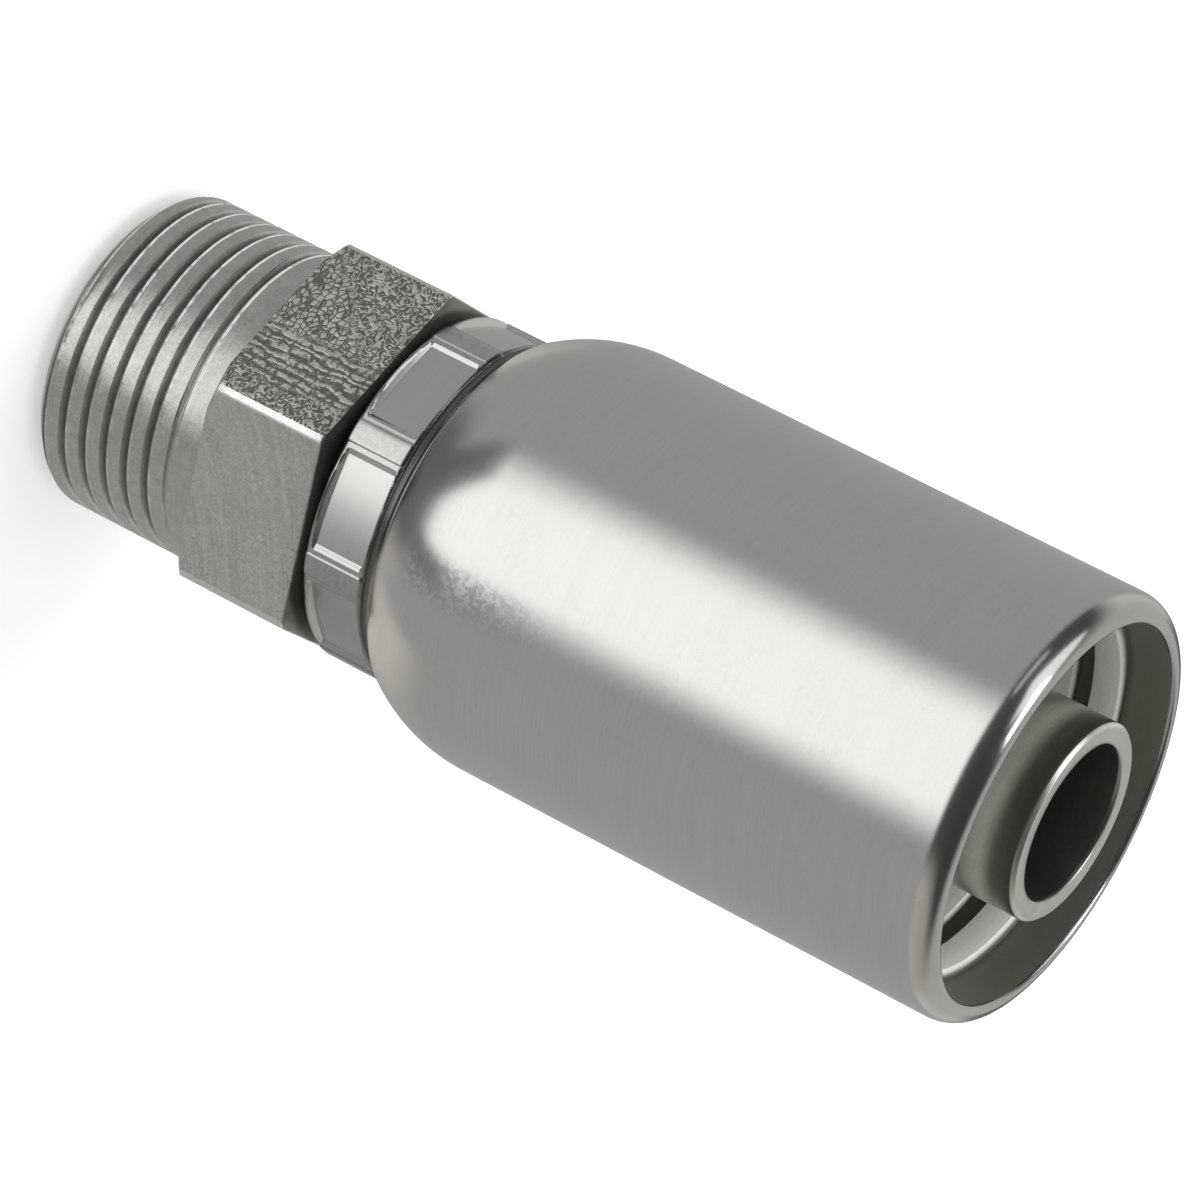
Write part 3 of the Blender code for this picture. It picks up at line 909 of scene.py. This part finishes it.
def shell_rings(sizes):
    """All the shell's rings, from the mouth down the outside and back up the bore."""
    pitch = FULL_TURN / sizes.jaw_count
    half = sizes.jaw_width / 2
    marks = [half + math.radians(step) for step in (-0.3, 0.0, 0.3, 0.7, 1.1, 1.5, 1.9, 2.3)]
    marks += [pitch / 2 - sizes.rib_width / 2 + math.radians(step) for step in (-0.35, -0.12, 0.12, 0.35)]
    extra = [
        sizes.jaw_turn + index * pitch + side * mark
        for index in range(sizes.jaw_count)
        for side in (-1, 1)
        for mark in marks
    ]
    rings = Rings(turns_with(240, extra))
    mouth, bottom, outer = shell_high.z, shell_low.z, shell_high.x
    lip, inner_lip = sizes.lip_round, sizes.lip_inner_round
    lip_width = min(lip, outer - sizes.grip_radius - inner_lip)
    for step in range(13):
        angle = math.pi / 2 * (1 - step / 12)
        rings.add(outer - lip_width * (1 - math.cos(angle)), mouth - lip * (1 - math.sin(angle)))
    collar_top = bottom + sizes.collar_length
    foot = collar_top + sizes.dome_groove
    foot_radius = sizes.collar_radius + sizes.dome_step
    turn = math.acos(1 - (outer - foot_radius) / sizes.dome_radius)
    dome_top = foot + sizes.dome_radius * math.sin(turn)
    for height in spread(mouth - lip, dome_top, 16):
        rings.add(outer, height)
    dome = arc((outer - sizes.dome_radius, dome_top), sizes.dome_radius, 0.0, -turn, 28)
    rings.outline(dome[:-1])
    groove = sizes.dome_groove / 2
    rings.outline(
        [
            (foot_radius + 0.012 * MM, foot + 0.05 * MM),
            (foot_radius - 0.02 * MM, foot + 0.012 * MM),
            (foot_radius - 0.07 * MM, foot),
        ]
    )
    rings.outline(
        arc((sizes.collar_radius - 0.05 * MM, foot - groove), groove, math.pi / 2, math.pi * 1.42, 10)
    )
    top_edge = collar_top - 0.02 * MM
    low_edge = bottom + 0.2 * MM
    below_top, above_low = top_edge - 0.6 * MM, low_edge + 0.5 * MM
    heights = [top_edge, *spread(top_edge, below_top, 10), *spread(below_top, above_low, 7)]
    heights += spread(above_low, low_edge, 7)
    edge = sizes.collar_edge
    for height in heights:
        into_edge = min(max(height - (top_edge - edge), 0.0) / edge, 0.98)
        inset = edge * (1 - math.sqrt(1 - into_edge**2))
        rings.add(collar_radius_at(rings.turns, height, sizes) - inset, height)
    collar = collar_radius_at(rings.turns, low_edge, sizes)
    for step in range(5):
        angle = math.pi / 2 * step / 4
        inset, drop = 0.2 * MM * (1 - math.cos(angle)), 0.2 * MM * math.sin(angle)
        rings.add(collar - inset, low_edge - drop)
    counterbore_top = sizes.counterbore_top
    bore_bottom = counterbore_top + sizes.bore_radius - sizes.counterbore_radius
    shelf = bottom + sizes.flange_length
    opening = mouth - sizes.mouth_counterbore
    inside = [
        (sizes.collar_radius - 0.4 * MM, bottom),
        (sizes.collar_bore, bottom, 0.1 * MM),
        (sizes.collar_bore, shelf, 0.05 * MM),
        (sizes.counterbore_radius, shelf, 0.1 * MM),
        (sizes.counterbore_radius, counterbore_top),
        (sizes.bore_radius, bore_bottom, 0.3 * MM),
    ]
    first = opening - sizes.grip_count * sizes.grip_pitch
    slope, width = sizes.grip_slope, sizes.grip_width
    for index in range(sizes.grip_count):
        low = first + index * sizes.grip_pitch
        inside += [
            (sizes.bore_radius, low, 0.06 * MM),
            (sizes.grip_radius, low + slope, 0.06 * MM),
            (sizes.grip_radius, low + width - slope, 0.06 * MM),
            (sizes.bore_radius, low + width, 0.06 * MM),
        ]
    inside += [
        (sizes.bore_radius, opening, 0.06 * MM),
        (sizes.grip_radius, opening + slope, 0.06 * MM),
        (sizes.grip_radius, mouth - inner_lip - 1.4 * MM),
        (sizes.grip_radius, mouth - inner_lip),
    ]
    rings.outline(fillet(inside, 3), 1)
    lip_center = (sizes.grip_radius + inner_lip, mouth - inner_lip)
    rings.outline(arc(lip_center, inner_lip, math.pi, math.pi / 2, 6)[1:], 0)
    return rings


def face_seal_rings():
    """The rubber ring."""
    section = (seal_high.z - seal_low.z) / 2
    middle = seal_high.x - section
    center = (middle, seal_low.z + section)
    rings = Rings(turns_with(192))
    rings.outline(arc(center, section, math.pi / 2, -math.pi * 3 / 2, 40)[:-1])
    return rings


# Stage


def studio_world():
    """Even soft light. Glossy rays alone see something else: a white strip in front, greys and flags.

    So the metal does not show the white background. The strip's end has a shape of its own.
    """
    world = bpy.data.worlds.new("soft_studio")
    world.use_nodes = True
    bpy.context.scene.world = world
    nodes = Nodes(world.node_tree)
    direction = nodes.add("ShaderNodeTexCoord", None, None, output="Generated")
    x, y, z = nodes.split(direction)
    turn = x.math("ARCTAN2", -y) / FULL_TURN + 0.5
    gain, strip_middle, left_half, right_half, level_part, round_part = 1.55, 8.0, 30.0, 22.5, 0.45, 0.42

    def lit(*levels):
        return rgba(levels, 1 / gain)

    beside_front = abs(turn * 360.0 - 180.0)
    strip = nodes.blend(nodes.rise(beside_front, 20.0, 45.0), lit(1.4, 1.4, 1.4), lit(0.4, 0.4, 0.4))
    down = -z
    behind = nodes.rise(y, 0.2, 0.65)
    dark, grey = lit(0.06, 0.062, 0.06), lit(0.66, 0.67, 0.65)
    upper = nodes.blend(behind, dark, grey)
    upper = nodes.blend(nodes.rise(x, 0.6, 0.9), upper, lit(0.5, 0.48, 0.43))
    right_below = nodes.rise(x + 0.8 * y, 0.1, 0.38)
    under = nodes.blend(
        right_below, lit(0.15, 0.155, 0.16), lit(0.54, 0.52, 0.465)
    )
    white = lit(1.1, 1.1, 1.08)
    under = nodes.blend(nodes.rise(y - 0.5 * abs(x), 0.28, 0.5), under, white)
    from_middle = turn * 360.0 - (180.0 + strip_middle)
    beside = abs(from_middle)
    low = (down - level_part).math("MAXIMUM", 0.0) / round_part
    round_end = ((beside / left_half).math("POWER", 2.0) + low.math("POWER", 2.0)).math("SQRT")
    square_end = ((beside / right_half).math("POWER", 5.0) + low.math("POWER", 5.0)).math("POWER", 0.2)
    end = round_end + (square_end - round_end) * from_middle.math("GREATER_THAN", 0.0)
    near_end = nodes.rise(end, 0.82, 1.12) * nodes.rise(down, 0.44, 0.64)
    in_front = 1.0 - nodes.rise(abs(x / (-y).math("MAXIMUM", 0.02)), 0.78, 1.1)
    fade = (near_end * in_front).math("MAXIMUM", nodes.rise(down, 0.86, 0.96))
    side = nodes.blend(
        nodes.rise(x + 2.2 * y, 0.5, 0.9) * nodes.rise(down, 0.5, 0.75), strip, lit(0.66, 0.64, 0.56)
    )
    lower = nodes.blend(fade, side, under)
    seen = nodes.blend(nodes.rise(z, -0.2, -0.08), lower, upper)
    low_back = nodes.rise(y, 0.5, 0.8) * nodes.band(z, -0.27, -0.17, 0.12, 0.22)
    low_back = low_back * (1.0 - nodes.rise(abs(x), 0.15, 0.32))
    seen = nodes.blend(low_back, seen, lit(0.12, 0.12, 0.12))
    scaled = nodes.add("ShaderNodeVectorMath", {"operation": "SCALE"}, {0: seen, "Scale": gain})
    path = nodes.add("ShaderNodeLightPath").socket.node
    glossy = Value(nodes, path.outputs["Is Glossy Ray"])
    camera = Value(nodes, path.outputs["Is Camera Ray"])
    through = Value(nodes, path.outputs["Is Transmission Ray"])
    plain = nodes.blend(camera.math("MAXIMUM", through), rgba((0.95, 0.95, 0.95)), rgba((1, 1, 1)))
    light = nodes.blend(glossy, plain, scaled)
    background = nodes.add("ShaderNodeBackground", None, {"Color": light, "Strength": 1.0})
    nodes.add("ShaderNodeOutputWorld", None, {"Surface": background})
    return world


def pale_floor(stage):
    """A pale matt floor that the camera sees white, with the fitting's shadow kept on it."""
    material = bpy.data.materials.new("pale_floor")
    material.use_nodes = True
    nodes = Nodes(material.node_tree)
    path = nodes.add("ShaderNodeLightPath").socket.node
    sight = Value(nodes, path.outputs["Is Camera Ray"])
    for other in ("Is Glossy Ray", "Is Transmission Ray"):
        sight = sight.math("MAXIMUM", Value(nodes, path.outputs[other]))
    matt = nodes.add("ShaderNodeBsdfDiffuse", None, {"Color": rgba(stage.floor_color)})
    white = nodes.add("ShaderNodeEmission", None, {"Color": rgba((1, 1, 1)), "Strength": sight * 0.37})
    both = nodes.add("ShaderNodeAddShader", None, {0: matt, 1: white})
    nodes.add("ShaderNodeOutputMaterial", None, {"Surface": both})
    half = stage.floor_size / 2
    mesh = bpy.data.meshes.new("floor")
    mesh.from_pydata(
        [(-half, -half, 0), (half, -half, 0), (half, half, 0), (-half, half, 0)], [], [(0, 1, 2, 3)]
    )
    mesh.materials.append(material)
    floor = bpy.data.objects.new("floor", mesh)
    bpy.context.scene.collection.objects.link(floor)
    floor.visible_glossy = False
    return floor


def softbox(name, azimuth, elevation, distance, width, height, level):
    """A flat soft light of a given brightness that faces the middle of the fitting."""
    lamp = bpy.data.lights.new(name, "AREA")
    lamp.shape = "RECTANGLE"
    lamp.size, lamp.size_y = width, height
    lamp.energy = level * math.pi * width * height
    light = bpy.data.objects.new(name, lamp)
    bpy.context.scene.collection.objects.link(light)
    turn, tilt = math.radians(azimuth), math.radians(elevation)
    away = Vector((math.sin(turn) * math.cos(tilt), -math.cos(turn) * math.cos(tilt), math.sin(tilt)))
    light.location = Vector((0, 0, 35 * MM)) + away * distance
    light.rotation_mode = "QUATERNION"
    light.rotation_quaternion = away.to_track_quat("Z", "Y")
    return light


def picture_camera(stage):
    """The camera at the picture's viewing angle, for a square picture."""
    data = bpy.data.cameras.new("camera")
    data.sensor_width = 36.0
    data.lens = stage.camera_lens
    data.clip_start, data.clip_end = 0.01, 20.0
    camera = bpy.data.objects.new("camera", data)
    bpy.context.scene.collection.objects.link(camera)
    tilt, roll = stage.camera_height, stage.camera_roll
    right = Vector((-math.sin(roll), math.cos(roll) * math.sin(tilt), math.cos(roll) * math.cos(tilt)))
    back = Vector((0.0, -math.cos(tilt), math.sin(tilt)))
    up = back.cross(right)
    placed = Matrix((right, up, back)).transposed().to_4x4()
    placed.translation = Vector(stage.camera_target) + back * stage.camera_distance
    camera.matrix_world = placed
    bpy.context.scene.camera = camera
    return camera


# Operators


class FITTING_OT_stem(bpy.types.Operator):
    """Turn the stem: thread, hexagon, neck and barbed tail"""

    bl_idname = "fitting.stem"
    bl_label = "Stem"

    def execute(self, context):
        finish = context.scene.fitting_finishes
        sizes = context.scene.fitting_stem
        rings = stem_rings(sizes)
        materials = [
            plated_thread(finish, sizes),
            satin_hexagon(finish),
            forged_face(finish),
            turned_tail(finish),
        ]
        piece = rings.piece("stem_turned", materials, forged_on_two_faces)
        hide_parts("stem")
        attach(piece, "root")
        return {"FINISHED"}


class FITTING_OT_shell(bpy.types.Operator):
    """Turn the crimp shell and press the die marks into its collar"""

    bl_idname = "fitting.shell"
    bl_label = "Crimp shell"

    def execute(self, context):
        finish = context.scene.fitting_finishes
        rings = shell_rings(context.scene.fitting_shell)
        piece = rings.piece("shell_turned", [turned_shell(finish), ringed_bore(finish)])
        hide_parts("shell")
        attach(piece, "root")
        return {"FINISHED"}


class FITTING_OT_face_seal(bpy.types.Operator):
    """Mould the rubber ring of the sealing face"""

    bl_idname = "fitting.face_seal"
    bl_label = "Face seal"

    def execute(self, context):
        rings = face_seal_rings()
        piece = rings.piece("face_seal_moulded", [nitrile_rubber(context.scene.fitting_finishes)])
        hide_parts("face_seal")
        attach(piece, "root")
        return {"FINISHED"}


class FITTING_OT_stage(bpy.types.Operator):
    """Set the floor, the soft light and the camera"""

    bl_idname = "fitting.stage"
    bl_label = "Stage"

    def execute(self, context):
        stage = context.scene.fitting_stage
        studio_world()
        pale_floor(stage)
        softbox("softbox_left", -80.0, 52.0, 0.4, 0.3, 0.2, 1.4)
        softbox("softbox_mouth", -105.0, 72.0, 0.4, 0.12, 0.12, 6.0)
        softbox("softbox_low_left", -55.0, 11.0, 0.5, 0.24, 0.05, 0.9)
        picture_camera(stage)
        context.scene.view_settings.view_transform = "Standard"
        return {"FINISHED"}


class FITTING_PT_panel(bpy.types.Panel):
    """The fitting's pieces and their sizes"""

    bl_idname = "FITTING_PT_panel"
    bl_label = "Hose fitting"
    bl_space_type = "VIEW_3D"
    bl_region_type = "UI"
    bl_category = "Hose fitting"

    def draw(self, context):
        for operator in OPERATORS:
            self.layout.operator(operator.bl_idname)
        for name, group in GROUPS.items():
            column = self.layout.column(align=True)
            column.label(text=group.__doc__)
            for field in group.__annotations__:
                column.prop(getattr(context.scene, name), field)


GROUPS = {
    "fitting_stem": StemSizes,
    "fitting_shell": ShellSizes,
    "fitting_finishes": Finishes,
    "fitting_stage": StageSettings,
}
OPERATORS = (FITTING_OT_stem, FITTING_OT_shell, FITTING_OT_face_seal, FITTING_OT_stage)


def register():
    for group in GROUPS.values():
        bpy.utils.register_class(group)
    for name, group in GROUPS.items():
        setattr(bpy.types.Scene, name, PointerProperty(type=group))
    for operator in OPERATORS:
        bpy.utils.register_class(operator)
    bpy.utils.register_class(FITTING_PT_panel)


def unregister():
    bpy.utils.unregister_class(FITTING_PT_panel)
    for operator in reversed(OPERATORS):
        bpy.utils.unregister_class(operator)
    for name in GROUPS:
        delattr(bpy.types.Scene, name)
    for group in reversed(GROUPS.values()):
        bpy.utils.unregister_class(group)


def main():
    register()
    bpy.ops.fitting.stem()
    bpy.ops.fitting.shell()
    bpy.ops.fitting.face_seal()
    bpy.ops.fitting.stage()


if __name__ == "__main__":
    main()
